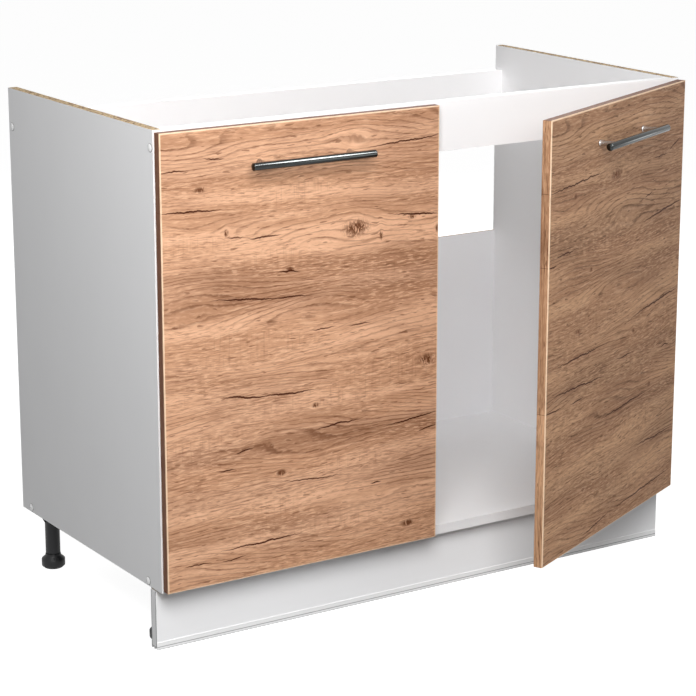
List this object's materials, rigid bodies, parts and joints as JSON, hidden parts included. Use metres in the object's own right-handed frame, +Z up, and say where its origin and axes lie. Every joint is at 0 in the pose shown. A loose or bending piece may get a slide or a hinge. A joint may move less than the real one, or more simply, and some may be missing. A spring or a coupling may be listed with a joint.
{
  "type": "sink base cabinet",
  "caption": "Wide kitchen base cabinet for a sink: open top, open rear service gap, two wood-decor doors on concealed linkage hinges, bar handles, adjustable legs and a plinth.",
  "frame": {"origin": "on the floor, in the middle of the underside of the plinth sealing strip", "axes": "+X to the right along the width, +Y from the front to the rear, +Z up"},
  "size_m": [1.0032, 0.7329, 0.82],
  "materials": {
    "carcass_board": "white melamine-faced chipboard, satin",
    "back_board": "white lacquered fibreboard, satin",
    "oak_board": "oak decor with horizontal grain, matt",
    "handle_metal": "polished",
    "screw_steel": "zinc plated",
    "hinge_steel": "nickel plated",
    "black_plastic": "moulded, satin",
    "white_plastic": "moulded, satin",
    "seal_plastic": "soft extruded strip, satin"
  },
  "bodies": {
    "carcass": {"side_left": "carcass_board", "side_right": "carcass_board", "bottom_panel": "carcass_board", "front_rail": "carcass_board", "rear_rail": "carcass_board", "back_panel": "back_board", "plinth_board": "carcass_board", "plinth_seal": "seal_plastic", "plinth_clip_left": "black_plastic", "plinth_clip_right": "black_plastic", "cap_left_front_top": "white_plastic", "cap_left_rear_top": "white_plastic", "cap_left_front_bottom": "white_plastic", "cap_left_rear_bottom": "white_plastic", "hinge_arm_left_lower": "hinge_steel", "hinge_plate_left_lower": "hinge_steel", "hinge_arm_left_upper": "hinge_steel", "hinge_plate_left_upper": "hinge_steel", "cap_right_front_top": "white_plastic", "cap_right_rear_top": "white_plastic", "cap_right_front_bottom": "white_plastic", "cap_right_rear_bottom": "white_plastic", "hinge_arm_right_lower": "hinge_steel", "hinge_plate_right_lower": "hinge_steel", "hinge_arm_right_upper": "hinge_steel", "hinge_plate_right_upper": "hinge_steel", "leg_front_left": "black_plastic", "leg_front_right": "black_plastic", "leg_rear_left": "black_plastic", "leg_rear_right": "black_plastic"},
    "left_door": {"door_left": "oak_board", "handle_bar_left": "handle_metal", "handle_post_left_outer": "handle_metal", "handle_post_left_inner": "handle_metal", "handle_screw_left_outer": "screw_steel", "handle_screw_left_inner": "screw_steel", "hinge_cup_left_lower": "hinge_steel", "hinge_cup_left_upper": "hinge_steel"},
    "left_outer_links": {"outer_link_left_lower": "hinge_steel", "outer_link_left_upper": "hinge_steel"},
    "left_inner_links": {"inner_link_left_lower": "hinge_steel", "inner_link_left_upper": "hinge_steel"},
    "right_door": {"door_right": "oak_board", "handle_bar_right": "handle_metal", "handle_post_right_outer": "handle_metal", "handle_post_right_inner": "handle_metal", "handle_screw_right_outer": "screw_steel", "handle_screw_right_inner": "screw_steel", "hinge_cup_right_lower": "hinge_steel", "hinge_cup_right_upper": "hinge_steel"},
    "right_outer_links": {"outer_link_right_lower": "hinge_steel", "outer_link_right_upper": "hinge_steel"},
    "right_inner_links": {"inner_link_right_lower": "hinge_steel", "inner_link_right_upper": "hinge_steel"},
    "front_left_foot": {"foot_front_left": "black_plastic"},
    "front_right_foot": {"foot_front_right": "black_plastic"},
    "rear_left_foot": {"foot_rear_left": "black_plastic"},
    "rear_right_foot": {"foot_rear_right": "black_plastic"}
  },
  "joints": [
    {"name": "left_outer_links_on_arms", "type": "hinge", "parent": "carcass", "child": "left_outer_links", "pos_m": [-0.4635, -0.015, 0.4605], "axis": [0, 0, -1], "range_deg": [-23.2, 0.5]},
    {"name": "left_door_swing", "type": "hinge", "parent": "left_outer_links", "child": "left_door", "pos_m": [-0.4895, -0.0336, 0.4605], "axis": [0, 0, -1], "range_deg": [0, 117.7]},
    {"name": "left_inner_links_on_arms", "type": "hinge", "parent": "carcass", "child": "left_inner_links", "pos_m": [-0.4739, -0.0358, 0.4605], "axis": [0, 0, -1], "range_deg": [-39.16, 0.5]},
    {"name": "right_outer_links_on_arms", "type": "hinge", "parent": "carcass", "child": "right_outer_links", "pos_m": [0.4635, -0.015, 0.4605], "axis": [0, 0, 1], "range_deg": [-16.99, 6.71]},
    {"name": "right_door_swing", "type": "hinge", "parent": "right_outer_links", "child": "right_door", "pos_m": [0.48733, -0.0363, 0.4605], "axis": [0, 0, 1], "range_deg": [-32.21, 85.49]},
    {"name": "right_inner_links_on_arms", "type": "hinge", "parent": "carcass", "child": "right_inner_links", "pos_m": [0.4739, -0.0358, 0.4605], "axis": [0, 0, 1], "range_deg": [-28.58, 11.08]},
    {"name": "front_left_foot_screw", "type": "slide", "parent": "carcass", "child": "front_left_foot", "axis": [0, 0, -1], "range_m": [-0.005, 0.02]},
    {"name": "front_right_foot_screw", "type": "slide", "parent": "carcass", "child": "front_right_foot", "axis": [0, 0, -1], "range_m": [-0.005, 0.02]},
    {"name": "rear_left_foot_screw", "type": "slide", "parent": "carcass", "child": "rear_left_foot", "axis": [0, 0, -1], "range_m": [-0.005, 0.02]},
    {"name": "rear_right_foot_screw", "type": "slide", "parent": "carcass", "child": "rear_right_foot", "axis": [0, 0, -1], "range_m": [-0.005, 0.02]}
  ],
  "couplings": [
    {"joint": "left_outer_links_on_arms", "follows": "left_door_swing", "ratio": -0.1929},
    {"joint": "left_inner_links_on_arms", "follows": "left_door_swing", "ratio": -0.32849},
    {"joint": "right_outer_links_on_arms", "follows": "right_door_swing", "ratio": -0.1929},
    {"joint": "right_inner_links_on_arms", "follows": "right_door_swing", "ratio": -0.32849}
  ]
}
